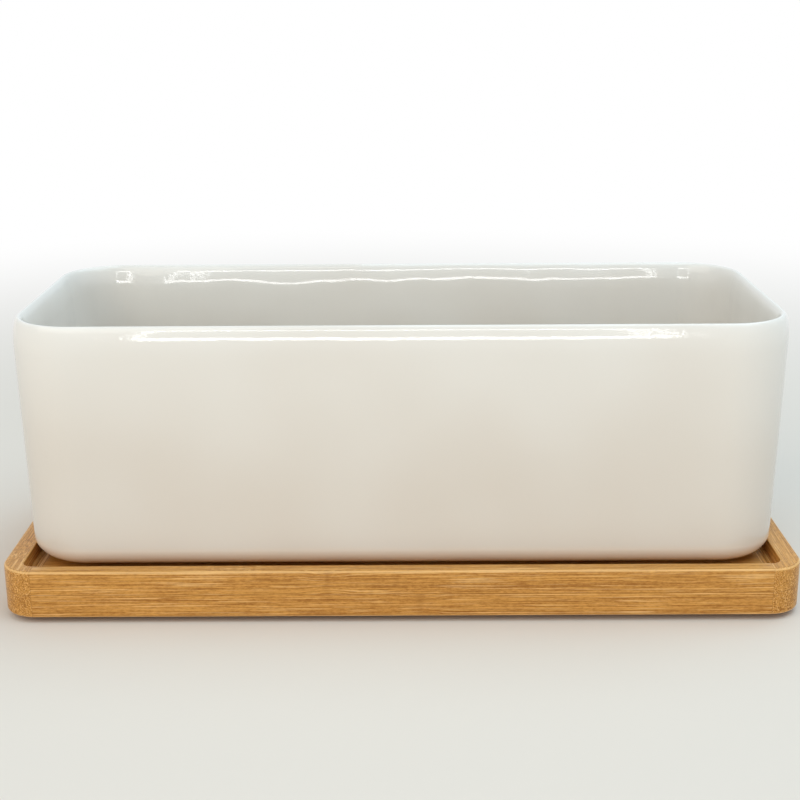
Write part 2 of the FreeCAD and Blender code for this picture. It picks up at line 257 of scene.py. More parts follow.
# %% [markdown]
# ## The drain holes
#
# Water has to leave the pot, so its floor has two round holes with soft edges. A boolean cut would
# leave long thin triangles at the soft edges. Here each hole is a short tube of rings, and the flat floor is
# one triangle fill between the wall's last ring and the two upper edges of the tubes.

# %% Two drain holes
screen_low, screen_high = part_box("drain_screen_right")
DRAIN_PLACE = (screen_low.x + screen_high.x) / 2
DRAIN_RADIUS = 6.0 * MM
DRAIN_BEVEL = 0.8 * MM
DRAIN_STEPS = 5


def drain_hole(bm, side):
    """Skins one drain hole and returns its upper and lower edges."""
    soft = quarter(DRAIN_BEVEL, DRAIN_BEVEL, DRAIN_STEPS)
    mouth = [(flare, FLOOR_TOP - rest) for flare, rest in reversed(soft)]
    outlet = [(flare, BODY_BOTTOM + rest) for flare, rest in soft]
    rings = [circle_ring(bm, (side * DRAIN_PLACE, 0), DRAIN_RADIUS + flare, height)
             for flare, height in mouth + outlet]
    skin(bm, rings)
    return rings[0], rings[-1]


drains = [drain_hole(pot_mesh, side) for side in (-1, 1)]
bmesh.ops.triangle_fill(
    pot_mesh, use_beauty=True, use_dissolve=False, normal=(0, 0, 1),
    edges=pot_rings[-1] + drains[0][0] + drains[1][0])
print("drain holes", round(2 * DRAIN_RADIUS / MM, 1), "mm across, at x =", round(DRAIN_PLACE / MM, 1), "mm")

# %% [markdown]
# ## The foot ring
#
# The pot stands on a low ring, so that its base stays off the wet tray, and notches in the ring let
# the water run out beside the holes. The ring starts as a flat band under the pot. It is cut at the
# notches, drawn down and eased at its sole. Its upper border stays part of the underside, so that the
# whole pot is one closed skin.

# %% Draw the foot ring
RING_PLACE = 10.0 * MM
RING_WIDTH = 4.0 * MM
NOTCH_WIDTH = 9.0 * MM
RING_EASING = 0.4 * MM
RING_EASING_STEPS = 3


def draw_foot_ring(bm):
    """Adds the notched ring under the pot and returns the edges where it leaves the underside."""
    known = set(bm.faces)

    def added():
        """The faces that this function has made."""
        return [face for face in bm.faces if face not in known]

    skin(bm, [pot_ring(bm, inset, BODY_BOTTOM) for inset in (RING_PLACE, RING_PLACE + RING_WIDTH)])
    for side in (-1, 1):
        for edge_of_notch in (-1, 1):
            parts = {part for face in added() for part in (face, *face.edges, *face.verts)}
            place = side * DRAIN_PLACE + edge_of_notch * NOTCH_WIDTH / 2
            bmesh.ops.bisect_plane(bm, geom=list(parts), plane_co=(place, 0, 0), plane_no=(1, 0, 0))
    in_notch = [face for face in added()
                if abs(abs(face.calc_center_median().x) - DRAIN_PLACE) < NOTCH_WIDTH / 2]
    bmesh.ops.delete(bm, geom=in_notch, context="FACES")
    footprint = added()
    border = {edge for face in footprint for edge in face.edges if len(edge.link_faces) == 1}
    drawn = bmesh.ops.extrude_face_region(bm, geom=footprint, use_keep_orig=True)["geom"]
    lowered = [part for part in drawn if isinstance(part, bmesh.types.BMVert)]
    bmesh.ops.translate(bm, vec=(0, 0, -RING_HEIGHT), verts=lowered)
    bmesh.ops.delete(bm, geom=footprint, context="FACES_ONLY")
    sole = [part for part in drawn if isinstance(part, bmesh.types.BMFace)]
    rim = {edge for face in sole for edge in face.edges
           if any(other not in sole for other in edge.link_faces)}
    inner = [edge for edge in bm.edges if edge.is_wire and edge not in border]
    bmesh.ops.delete(bm, geom=inner, context="EDGES")
    bmesh.ops.bevel(bm, geom=list(rim), offset=RING_EASING, offset_type="OFFSET",
                    segments=RING_EASING_STEPS, profile=0.5, affect="EDGES", material=-1)
    return [edge for edge in border if edge.is_valid]


ring_border = draw_foot_ring(pot_mesh)
bmesh.ops.triangle_fill(
    pot_mesh, use_beauty=True, use_dissolve=False, normal=(0, 0, -1),
    edges=pot_rings[0] + drains[0][1] + drains[1][1] + ring_border)
pot = make_piece(pot_mesh, "glazed_pot", "pot", "white_glaze", "pot")

# %% [markdown]
# ## The bamboo tray
#
# The tray is glued up from five strips and then shaped as one block: the outline is routed with round
# corners, a recess for the pot is routed into the top, and all edges are eased with sandpaper. One
# could model each strip by itself, but the whole block comes first here, as on the bench, because the
# rounds then run on from strip to strip without a step.

# %% The tray as one block
tray_low, tray_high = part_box("left_rail")[0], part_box("right_rail")[1]
front_low, back_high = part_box("front_rail")[0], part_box("back_rail")[1]
board_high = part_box("tray_board")[1]
TRAY_LENGTH = tray_high.x - tray_low.x
TRAY_WIDTH = back_high.y - front_low.y
TRAY_CORNER = 11.5 * MM
END_RIM, LONG_RIM = 7.0 * MM, 5.5 * MM
RECESS_CORNER = 4.0 * MM
TOP_EASING = 0.9 * MM
RECESS_EASING = 0.5 * MM
UNDER_EASING = 0.9 * MM
EASING_STEPS = 4


def tray_ring(bm, inset, height):
    """The tray's outer outline, moved in by an inset."""
    return rounded_ring(bm, TRAY_LENGTH - 2 * inset, TRAY_WIDTH - 2 * inset, TRAY_CORNER - inset, height)


def recess_ring(bm, outset, height):
    """The recess's outline, moved out by an outset."""
    length = TRAY_LENGTH - 2 * END_RIM + 2 * outset
    width = TRAY_WIDTH - 2 * LONG_RIM + 2 * outset
    return rounded_ring(bm, length, width, RECESS_CORNER + outset, height)


block = bmesh.new()
under = [(inset, tray_low.z + rest)
         for inset, rest in quarter(UNDER_EASING, UNDER_EASING, EASING_STEPS)]
top = [(inset, tray_high.z - rest)
       for inset, rest in quarter(TOP_EASING, TOP_EASING, EASING_STEPS)]
recess_edge = [(outset, tray_high.z - rest)
               for outset, rest in quarter(RECESS_EASING, RECESS_EASING, EASING_STEPS)]
tray_rings = [tray_ring(block, *point) for point in under[::-1] + top]
tray_rings += [recess_ring(block, *point) for point in recess_edge[::-1]]
tray_rings.append(recess_ring(block, 0, board_high.z))
skin(block, tray_rings)
for border in (tray_rings[0], tray_rings[-1]):
    bmesh.ops.contextual_create(block, geom=border)
print("the tray is", round(TRAY_LENGTH / MM, 1), "by", round(TRAY_WIDTH / MM, 1), "mm")

# %% [markdown]
# ## The five strips
#
# Two end rails, two long rails and a middle board make the tray. Each strip is a copy of the block,
# sawn off along its four glue lines by a plane that throws the outer part away. The open cut is closed
# with one face, so every strip is solid wood.

# %% Saw the block into its strips


def saw(whole, low, high):
    """A copy of the block cut down to the stock between two corners, seen from above."""
    strip = whole.copy()
    for axis in (0, 1):
        for place, outward in ((low[axis], -1), (high[axis], 1)):
            point, normal = Vector(), Vector()
            point[axis], normal[axis] = place, outward
            everything = strip.verts[:] + strip.edges[:] + strip.faces[:]
            sawn = bmesh.ops.bisect_plane(strip, geom=everything, plane_co=point, plane_no=normal,
                                          clear_outer=True)["geom_cut"]
            cut_edges = [part for part in sawn if isinstance(part, bmesh.types.BMEdge)]
            if cut_edges:
                bmesh.ops.contextual_create(strip, geom=cut_edges)
    return strip


strips = {}
for name in ("left_rail", "right_rail", "front_rail", "back_rail", "tray_board"):
    strips[name] = make_piece(saw(block, *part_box(name)), f"bamboo_{name}", "tray", "bamboo", name)
block.free()

# %% [markdown]
# ## The bumpers
#
# Four soft bumpers under the tray keep it off the table. Each is a small disc whose side draws in and
# whose lower edge is round. A cylinder with a bevel would do, but rings give the taper as well.

# %% Four bumpers
BUMPER_TAPER = 0.7 * MM
BUMPER_EDGE = 0.6 * MM
BUMPER_STEPS = 5


def make_bumper(node):
    """A bumper under the tray, skinned from its sole to its stuck-on face."""
    low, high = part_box(node)
    centre = ((low.x + high.x) / 2, (low.y + high.y) / 2)
    radius = (high.x - low.x) / 2
    bm = bmesh.new()
    edge = [(BUMPER_TAPER + inset, low.z + rest)
            for inset, rest in quarter(BUMPER_EDGE, BUMPER_EDGE, BUMPER_STEPS)]
    sizes = edge[::-1] + [(0, high.z)]
    rings = [circle_ring(bm, centre, radius - inset, height) for inset, height in sizes]
    skin(bm, rings)
    for border in (rings[0], rings[-1]):
        bmesh.ops.contextual_create(bm, geom=border)
    return make_piece(bm, f"rubber_{node}", "tray", "bumper_rubber", node)


bumpers = [make_bumper(f"bumper_{depth}_{side}")
           for side in ("left", "right")
           for depth in ("front", "back")]

# %% [markdown]
# ## The screens
#
# Two moulded nets lie over the drain holes and hold the soil back. A net could be woven from threads,
# but a moulded one is a flat disc with square gaps. So one triangle fill closes the disc between its
# round border and all its gaps, and drawing it up gives it its thickness.

# %% Two screens
MESH_OPENING = 2.7 * MM
MESH_PITCH = 3.9 * MM
SCREEN_BORDER = 1.6 * MM
MESH_EASING = 0.2 * MM
MESH_EASING_STEPS = 2


def square_ring(bm, centre, size, height):
    """The edges of one square gap of the net."""
    before = set(bm.faces)
    flat_face(bm, size, size, (*centre, height))
    return edges_of_new_face(bm, before)


def make_screen(side):
    """A round net over one drain hole."""
    node = f"drain_screen_{side}"
    low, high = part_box(node)
    middle = (low + high) / 2
    radius = (high.x - low.x) / 2
    reach = radius - SCREEN_BORDER
    steps = int(reach / MESH_PITCH)
    bm = bmesh.new()
    borders = circle_ring(bm, middle.xy, radius, low.z)
    for column in range(-steps, steps + 1):
        for row in range(-steps, steps + 1):
            x, y = column * MESH_PITCH, row * MESH_PITCH
            if math.hypot(abs(x) + MESH_OPENING / 2, abs(y) + MESH_OPENING / 2) < reach:
                borders += square_ring(bm, (middle.x + x, middle.y + y), MESH_OPENING, low.z)
    bmesh.ops.triangle_fill(bm, use_beauty=True, use_dissolve=True, edges=borders, normal=(0, 0, -1))
    drawn = bmesh.ops.extrude_face_region(bm, geom=bm.faces[:], use_keep_orig=True)["geom"]
    raised = [part for part in drawn if isinstance(part, bmesh.types.BMVert)]
    bmesh.ops.translate(bm, vec=(0, 0, high.z - low.z), verts=raised)
    upper = [part for part in drawn if isinstance(part, bmesh.types.BMFace)]
    rim = {edge for face in upper for edge in face.edges
           if any(other not in upper for other in edge.link_faces)}
    bmesh.ops.bevel(bm, geom=list(rim), offset=MESH_EASING, offset_type="OFFSET",
                    segments=MESH_EASING_STEPS, profile=0.5, affect="EDGES", material=-1)
    return make_piece(bm, f"net_{side}", f"screen_{side}", "screen_plastic", node)


screens = [make_screen(side) for side in ("left", "right")]

# %% [markdown]
# ## Shader maths
#
# A finish is a network of nodes, and drawing it in Python gets long. A small class makes it short: a
# Wire is one output of a node, and adding or multiplying wires adds the Math nodes for it. The
# reflected forms are there too, so that 1 - mask works.

# %% A wire


class Wire:
    """One output of a node. Python's operators on it add Math nodes."""

    def __init__(self, finish, socket):
        self.finish = finish
        self.socket = socket

    def maths(self, operation, *values):
        return self.finish.node("ShaderNodeMath", {"operation": operation}, dict(enumerate(values)))

    def __add__(self, other):
        return self.maths("ADD", self, other)

    def __radd__(self, other):
        return self.maths("ADD", other, self)

    def __sub__(self, other):
        return self.maths("SUBTRACT", self, other)

    def __rsub__(self, other):
        return self.maths("SUBTRACT", other, self)

    def __mul__(self, other):
        return self.maths("MULTIPLY", self, other)

    def __rmul__(self, other):
        return self.maths("MULTIPLY", other, self)

    def __truediv__(self, other):
        return self.maths("DIVIDE", self, other)

    def __abs__(self):
        return self.maths("ABSOLUTE", self)

    def floor(self):
        return self.maths("FLOOR", self)

    def fraction(self):
        return self.maths("FRACT", self)

    def ramp(self, low, high):
        """A smooth step from 0 at low to 1 at high, which may be the smaller of the two."""
        return self.finish.node(
            "ShaderNodeMapRange", {"interpolation_type": "SMOOTHSTEP"},
            {"Value": self, "From Min": low, "From Max": high, "To Min": 0.0, "To Max": 1.0})


print("a wire understands + - * / and abs()")

# %% [markdown]
# ## A finish
#
# The nodes of a material and those of the world differ only in the output that they end in, so one
# class builds both. It adds a node, fills its sockets with numbers or wires, and hands back a wire.
# The place on a piece comes from Object coordinates, turned into millimetres, so a pattern keeps its
# real size and stays on the piece when the piece moves. A noise of scale 0.02, for one, has blotches
# about 50 mm wide.

# %% The finish class


class Finish:
    """The shader nodes of a material, or of the world, under construction."""

    def __init__(self, owner, output="ShaderNodeOutputMaterial"):
        owner.use_nodes = True
        self.owner = owner
        self.tree = owner.node_tree
        self.tree.nodes.clear()
        self.output = self.tree.nodes.new(output)

    def node(self, kind, settings=None, inputs=None, output=0):
        """Adds a node, sets it up, fills its sockets and returns one of its outputs."""
        made = self.tree.nodes.new(kind)
        for name, value in (settings or {}).items():
            setattr(made, name, value)
        for key, value in (inputs or {}).items():
            if isinstance(value, Wire):
                self.tree.links.new(value.socket, made.inputs[key])
            else:
                made.inputs[key].default_value = value
        return Wire(self, made.outputs[output])

    def place(self):
        """The place on the object in millimetres."""
        where = self.node("ShaderNodeTexCoord", output="Object")
        return self.node("ShaderNodeMapping", {}, {"Vector": where, "Scale": (1 / MM, 1 / MM, 1 / MM)})

    def axes(self, vector):
        """The three numbers of a vector, each as a wire."""
        split = self.node("ShaderNodeSeparateXYZ", {}, {"Vector": vector})
        return [Wire(self, socket) for socket in split.socket.node.outputs]

    def noise(self, vector, scale, detail=2.0, roughness=0.5):
        return self.node("ShaderNodeTexNoise", {},
                         {"Vector": vector, "Scale": scale, "Detail": detail, "Roughness": roughness})

    def colour(self, factor, low, high):
        """A colour between two, which may be colours or wires."""
        return self.node("ShaderNodeMix", {"data_type": "RGBA"},
                         {"Factor": factor, 6: low, 7: high}, output=2)

    def bump(self, height, distance, under=None):
        """Relief with a greatest height, over other relief if there is any."""
        inputs = {"Height": height, "Distance": distance, "Strength": 1.0}
        if under:
            inputs["Normal"] = under
        return self.node("ShaderNodeBump", {}, inputs)

    def seen(self):
        """1 where the camera looks, straight, in a mirror or through glass, and 0 for plain light."""
        straight = self.node("ShaderNodeLightPath", output="Is Camera Ray")
        mirrored = self.node("ShaderNodeLightPath", output="Is Glossy Ray")
        through_glass = self.node("ShaderNodeLightPath", output="Is Transmission Ray")
        return straight + mirrored + through_glass

    def close(self, shader):
        """Links the last shader to the output and returns the material or the world."""
        self.tree.links.new(shader.socket, self.output.inputs["Surface"])
        return self.owner

    def surface(self, **sockets):
        """Closes with the Principled shader, where a socket's name is written with underscores."""
        named = {name.replace("_", " "): value for name, value in sockets.items()}
        return self.close(self.node("ShaderNodeBsdfPrincipled", {}, named))


def new_material(name):
    return Finish(bpy.data.materials.new(name))


print("a finish has", ", ".join(part for part in vars(Finish) if not part.startswith("_")))

# %% [markdown]
# ## Colours
#
# A paint chart gives a colour as a screen shows it, on a curve that suits the eye. A shader adds up
# light, so it needs the same colour without the curve. Colours typed straight into a socket would have
# to be converted by hand, and nobody would recognise them again.

# %% Tints


def tint(red, green, blue):
    """A colour as a paint chart gives it, from 0 to 255, made linear by the curve of sRGB."""
    share = [value / 255 for value in (red, green, blue)]
    return (*[s / 12.92 if s <= 0.04045 else ((s + 0.055) / 1.055) ** 2.4 for s in share], 1.0)


print("a paint chart's middle grey is", round(tint(128, 128, 128)[0], 3))

# %% [markdown]
# ## The glaze's colour
#
# A white gloss glaze lies over a warm white clay. Further down from the lip its tone turns darker and
# warmer, which is painted shade, and a lighter peach band where the wall turns under is a painted
# reflection of the lit bamboo tray. The foot ring is wiped before firing, so it shows the bare clay
# below a line that wanders a little. A single white would look like plastic, so four tones follow one
# another by height, and a broad soft noise shifts the first two.

# %% Tones of the glaze
GLAZE_LIGHT = tint(229, 227, 221)
# The darker tone of the random drift, and the painted shade that darkens the glaze further down.
GLAZE_DRIFT_AND_SHADE = tint(214, 206, 195)
# Painted reflection: a peach band of the tray's light where the wall turns under.
FOOT_PAINTED_REFLECTION = tint(236, 217, 196)
BARE_CLAY = tint(214, 200, 178)
WIPED_SHARE = 0.45
GLAZE_LINE = (FOOT + RING_HEIGHT * WIPED_SHARE) / MM
BARE_BELOW, GLAZED_ABOVE = GLAZE_LINE + 0.3, GLAZE_LINE + 0.7
LINE_WANDER, LINE_SCALE = 0.6, 0.12
SHADE_START, SHADE_FULL, SHADE_SHARE = LIP / MM, LIP / MM * 0.4, 0.7
REFLECTION_START, REFLECTION_FULL, REFLECTION_SHARE = BODY_BOTTOM / MM + 9.0, BODY_BOTTOM / MM + 3.0, 0.85
DRIFT_SCALE, DRIFT_SHARE = 0.02, 0.3


def bare_mask(finish, place, height):
    """1 on the wiped clay and 0 on the glaze."""
    line = height + finish.noise(place, LINE_SCALE) * LINE_WANDER
    return line.ramp(GLAZED_ABOVE, BARE_BELOW)


def glaze_colour(finish, place, height, bare):
    """The tones of the glaze from the lip down to the bare clay, with painted shade lower down and a painted
    reflection near the foot.
    """
    drift = finish.noise(place, DRIFT_SCALE, detail=1.0).ramp(0.2, 0.8) * DRIFT_SHARE
    # Painted shade: the glaze darkens from the lip downwards.
    painted_shade = height.ramp(SHADE_START, SHADE_FULL) * SHADE_SHARE
    # Painted reflection: the peach band near the foot.
    painted_reflection = height.ramp(REFLECTION_START, REFLECTION_FULL) * REFLECTION_SHARE
    glazed = finish.colour(painted_shade + drift, GLAZE_LIGHT, GLAZE_DRIFT_AND_SHADE)
    with_reflection = finish.colour(painted_reflection, glazed, FOOT_PAINTED_REFLECTION)
    return finish.colour(bare, with_reflection, BARE_CLAY)


print("the glaze ends", round(GLAZE_LINE - FOOT / MM, 2), "mm above the sole of the ring")

# %% [markdown]
# ## The glaze's relief
#
# Glaze is never quite flat. Broad waves make the edges of reflections waver, and a fine peel takes the
# hardness off them. The photograph's reflections are straight on the front and ragged on the back
# wall, so the waves grow livelier from front to back. The bare clay is gritty instead. Displacing the
# mesh could do this as well, but heights of less than a millimetre only show in the reflections.

# %% Glaze on the pot
CALM_PLACE, LIVELY_PLACE = -10.0, 45.0
CALM, LIVELIER = 0.4, 1.2
WAVE_SCALE, WAVE_HEIGHT = 0.035, 0.9 * MM
LUMP_SCALE, LUMP_SHARE = 0.11, 0.06
PEEL_SCALE, PEEL_HEIGHT = 0.5, 0.02 * MM
GRIT_SCALE, GRIT_HEIGHT = 4.0, 0.25 * MM
GLOSS_ROUGHNESS, CLAY_ROUGHER = 0.07, 0.7


def glaze_relief(finish, place, depth, bare):
    """Waves and lumps, then the peel, then grit where the clay is bare."""
    lively = depth.ramp(CALM_PLACE, LIVELY_PLACE)
    waves = finish.noise(place, WAVE_SCALE, detail=1.0) * (CALM + LIVELIER * lively)
    lumps = finish.noise(place, LUMP_SCALE) * lively * LUMP_SHARE
    rippled = finish.bump(waves + lumps, WAVE_HEIGHT)
    peeled = finish.bump(finish.noise(place, PEEL_SCALE), PEEL_HEIGHT, under=rippled)
    grit = finish.noise(place, GRIT_SCALE, detail=3.0) * bare
    return finish.bump(grit, GRIT_HEIGHT, under=peeled)


def make_glaze():
    finish = new_material("white_glaze")
    place = finish.place()
    _, depth, height = finish.axes(place)
    bare = bare_mask(finish, place, height)
    return finish.surface(
        Base_Color=glaze_colour(finish, place, height, bare),
        Roughness=GLOSS_ROUGHNESS + bare * CLAY_ROUGHER,
        IOR=1.5,
        Normal=glaze_relief(finish, place, depth, bare))


pot.data.materials.append(make_glaze())
print("glaze on", pot.name)

# %% [markdown]
# ## The grain of bamboo
#
# Bamboo has no rings like timber. It is a bundle of straight fibres, which show as fine lines along a
# strip and as a crowd of dark dots where it is sawn across. A pattern in space gives both at once: it
# is stretched along the grain, so a long face shows lines and an end shows dots, also round a corner.
# The board is glued from two plies, so the pattern starts anew at half its height. Each strip has one
# culm node, the knuckle of the cane, where the fibres draw together.

# %% The grain
PLY = (tray_high.z - tray_low.z) / 2 / MM
PLY_SHIFT_ALONG, PLY_SHIFT_UP = 50.0, 9.0
NODE_SHIFT = 31.0
NODE_REACH = 11.0
NODE_PINCH = 2.6


class Grain:
    """Where a point lies in its strip: along the grain, in which ply, and how far from the culm node."""

    def __init__(self, finish, along, seed, culm_node):
        self.finish = finish
        self.along = along
        self.seed = seed
        self.place = finish.axes(finish.place())
        self.ply = (self.place[2] - tray_low.z / MM) / PLY
        self.layer = self.ply.floor()
        self.within = self.ply.fraction()
        self.from_node = abs(self.place[along] - culm_node + self.layer * NODE_SHIFT)
        self.pinch = self.from_node.ramp(NODE_REACH, 0.0) * (self.within - 0.5) * NODE_PINCH

    def drawn_out(self, share):
        """The place with its axis along the grain shrunk to a share, so that a pattern runs long."""
        x, y, z = self.place
        parts = [x + self.seed, y + self.seed, z + self.pinch + self.layer * PLY_SHIFT_UP]
        parts[self.along] = (self.place[self.along] + self.seed + self.layer * PLY_SHIFT_ALONG) * share
        return self.finish.node("ShaderNodeCombineXYZ", {}, dict(enumerate(parts)))


print("each ply is", round(PLY, 2), "mm thick")

# %% [markdown]
# ## Fibres, edges and glue
#
# The dark fibres are the middles of stretched cells. They show most in the lower part of each ply, as
# on the outer side of a cane, and where the strip is sawn across. The rounded edges get a paler painted
# highlight, and thin brown lines mark the glue. Each of these is a mask, a number from 0 to 1 at every
# point. Painted masks would need an unwrapped mesh, while these follow from place and direction alone.

# %% Masks for the bamboo
CELL_SHARE, CELL_SCALE, CELL_FINER = 0.02, 0.8, 0.5
CELL_RIM, CELL_CORE = 0.38, 0.1
LONG_FACE_FIBRES, SAWN_FACE_MORE = 0.35, 0.65
INNER_LOSS = 0.6
SAWN_TURN = (0.3, 0.8)
OFF_THE_SIDE, OFF_THE_TOP = (0.1, 0.5), (0.99, 0.85)
SEAM_X, SEAM_Y = board_high.x / MM, board_high.y / MM
SEAM_HALF, SEAM_CORE = 0.2, 0.02
SEAM_END = 0.1
PLY_SEAM = (0.03, 0.01)
END_GLUE, LONG_GLUE, PLY_GLUE = 0.28, 0.25, 0.3


def fibre_mask(finish, grain, facing):
    """1 in the middle of a dark fibre."""
    cells = finish.node("ShaderNodeTexVoronoi", {"feature": "F1"},
                        {"Vector": grain.drawn_out(CELL_SHARE),
                         "Scale": CELL_SCALE + grain.layer * CELL_FINER, "Randomness": 1.0})
    sawn_across = abs(facing[grain.along]).ramp(*SAWN_TURN)
    shown = LONG_FACE_FIBRES + SAWN_FACE_MORE * sawn_across
    return cells.ramp(CELL_RIM, CELL_CORE) * shown * (1.0 - INNER_LOSS * grain.within)


def edge_highlight_mask(facing):
    """1 on the rounded edges, which face neither straight up or down nor sideways, where a highlight is
    painted.
    """
    tilt = abs(facing[2])
    return tilt.ramp(*OFF_THE_SIDE) * tilt.ramp(*OFF_THE_TOP)


def glue_mask(grain):
    """How strongly glue shows: across the ends, along the board and between the plies."""
    x, y, _ = grain.place
    across = abs(abs(x) - SEAM_X).ramp(SEAM_HALF, SEAM_CORE)
    within_rails = abs(x).ramp(SEAM_X + SEAM_END, SEAM_X - SEAM_END)
    lengthwise = abs(abs(y) - SEAM_Y).ramp(SEAM_HALF, SEAM_CORE) * within_rails
    between_plies = abs(grain.ply - 1.0).ramp(*PLY_SEAM)
    return across * END_GLUE + lengthwise * LONG_GLUE + between_plies * PLY_GLUE


print("glue lines at x =", round(SEAM_X, 1), "and y =", round(SEAM_Y, 1), "mm")

# %% [markdown]
# ## Bamboo for the strips
#
# The ground tone is a sum of noises from broad bands to short flecks, all along the grain. Over it go
# pale and dark veins, the fibres, the scar of the culm node, a painted highlight on the rounded edges
# and the glue, each as one more mix. A scanned picture of wood would be quicker, but it would repeat,
# and it would run across the corners where this grain turns into dots.

# %% The bamboo itself
BAMBOO_LIGHT = tint(210, 154, 78)
BAMBOO_DARK = tint(153, 98, 40)
FIBRE_BROWN = tint(122, 70, 18)
GLUE_BROWN = tint(112, 70, 32)
# A pale tone for the pale veins, and for the painted highlight on the rounded edges.
PALE_VEIN_AND_HIGHLIGHT = tint(240, 196, 132)
PATTERNS = {
    "bands": {"share": 0.02, "scale": 0.35, "detail": 1.0, "roughness": 0.5},
    "streaks": {"share": 0.008, "scale": 1.8, "detail": 3.0, "roughness": 0.75},
    "lines": {"share": 0.025, "scale": 3.0, "detail": 3.0, "roughness": 0.75},
    "flecks": {"share": 0.3, "scale": 1.8, "detail": 2.0, "roughness": 0.7},
    "veins": {"share": 0.014, "scale": 2.3, "detail": 2.0, "roughness": 0.6},
}
TONE_SHARES = {"bands": 0.25, "streaks": 1.0, "lines": 0.9, "flecks": 0.8}
TONE_START, UPPER_PLY_LIGHTER = -1.0, 0.04
DARKEST, LIGHTEST = 0.1, 0.8
PALE_VEINS, PALE_VEIN_SHARE = (0.56, 0.64), 0.6
DARK_VEINS, DARK_VEIN_SHARE = (0.44, 0.34), 0.5
FIBRE_SHARE = 0.9
CULM_SCAR, CULM_SCAR_SHARE = (2.0, 0.1), 0.2
EDGE_HIGHLIGHT_SHARE = 0.55
RELIEF_SHARES = {"lines": 0.5, "streaks": 0.3}
FIBRE_RELIEF = -0.5
RELIEF_HEIGHT = 0.025 * MM
LACQUER_ROUGHNESS, FIBRE_ROUGHER = 0.32, 0.15


def make_bamboo(name, along, seed, culm_node):
    """Bamboo whose grain runs along one axis, 0 for X and 1 for Y, with one culm node in it."""
    finish = new_material(name)
    grain = Grain(finish, along, seed, culm_node)
    facing = finish.axes(finish.node("ShaderNodeAttribute", {"attribute_name": "facing"}, output="Vector"))
    noises = {}
    for kind, look in PATTERNS.items():
        noises[kind] = finish.noise(grain.drawn_out(look["share"]), look["scale"],
                                    look["detail"], look["roughness"])
    tone = grain.layer * UPPER_PLY_LIGHTER + TONE_START
    for kind, share in TONE_SHARES.items():
        tone = tone + noises[kind] * share
    fibres = fibre_mask(finish, grain, facing)
    colour = finish.colour(tone.ramp(DARKEST, LIGHTEST), BAMBOO_DARK, BAMBOO_LIGHT)
    for share, shade in (
        (noises["veins"].ramp(*PALE_VEINS) * PALE_VEIN_SHARE, PALE_VEIN_AND_HIGHLIGHT),
        (noises["veins"].ramp(*DARK_VEINS) * DARK_VEIN_SHARE, FIBRE_BROWN),
        (fibres * FIBRE_SHARE, FIBRE_BROWN),
        (grain.from_node.ramp(*CULM_SCAR) * CULM_SCAR_SHARE, FIBRE_BROWN),
        # The paler rounds are a painted highlight.
        (edge_highlight_mask(facing) * EDGE_HIGHLIGHT_SHARE, PALE_VEIN_AND_HIGHLIGHT),
        (glue_mask(grain), GLUE_BROWN),
    ):
        colour = finish.colour(share, colour, shade)
    relief = fibres * FIBRE_RELIEF
    for kind, share in RELIEF_SHARES.items():
        relief = relief + noises[kind] * share
    return finish.surface(Base_Color=colour, Roughness=LACQUER_ROUGHNESS + fibres * FIBRE_ROUGHER,
                          Specular_IOR_Level=0.18, Normal=finish.bump(relief, RELIEF_HEIGHT))


SEED_STEP = 17.3
CULM_NODES = {"left_rail": 20.0, "right_rail": -34.0, "front_rail": 6.0,
              "back_rail": -61.0, "tray_board": 88.0}
for order, (name, piece) in enumerate(strips.items()):
    runs_along = 1 if name in ("left_rail", "right_rail") else 0
    bamboo = make_bamboo(f"bamboo_{name}", runs_along, SEED_STEP * order, CULM_NODES[name])
    piece.data.materials.append(bamboo)
print("bamboo on", len(strips), "strips")

# %% [markdown]
# ## Rubber and net
#
# The bumpers are dark, soft and matt, and pick up a little dust. The screens are moulded from matt
# plastic with a faint grain from their tool. Both are one speckle at different sizes, which tints the
# surface, roughens it and lifts it, so one function makes them both.

# %% Rubber and plastic
SPECKLE_ROUGHER = 0.15
SPECKLE_HEIGHT = 0.05 * MM


def make_matt(name, dark, light, grain_scale, roughness):
    """A matt moulded finish with a fine grain."""
    finish = new_material(name)
    speckle = finish.noise(finish.place(), grain_scale, detail=3.0)
    colour = finish.colour(speckle.ramp(0.35, 0.7), dark, light)
    return finish.surface(Base_Color=colour, Roughness=roughness + speckle * SPECKLE_ROUGHER,
                          Normal=finish.bump(speckle, SPECKLE_HEIGHT))


rubber = make_matt("bumper_rubber", tint(44, 40, 37), tint(66, 61, 56), grain_scale=1.6, roughness=0.62)
plastic = make_matt("screen_plastic", tint(40, 41, 41), tint(56, 57, 57), grain_scale=2.4, roughness=0.5)
for piece in bumpers:
    piece.data.materials.append(rubber)
for piece in screens:
    piece.data.materials.append(plastic)
print("rubber on", len(bumpers), "bumpers, plastic on", len(screens), "screens")

# %% [markdown]
# ## The floor
#
# The stage is plain. The floor is pale and matt under the planter, where it takes the shadow, and
# fades to white further off. A brighter lamp could whiten the floor too, but it would wash out the
# planter. So the white is a glow that only the camera, mirrors and glass see, and it sheds no light.

# %% The floor
WHITE = (1.0, 1.0, 1.0, 1.0)
FLOOR_SIZE = 60.0
FLOOR_PALE = tint(222, 214, 204)
FADE_NEAR, FADE_FAR = 0.2, 0.75


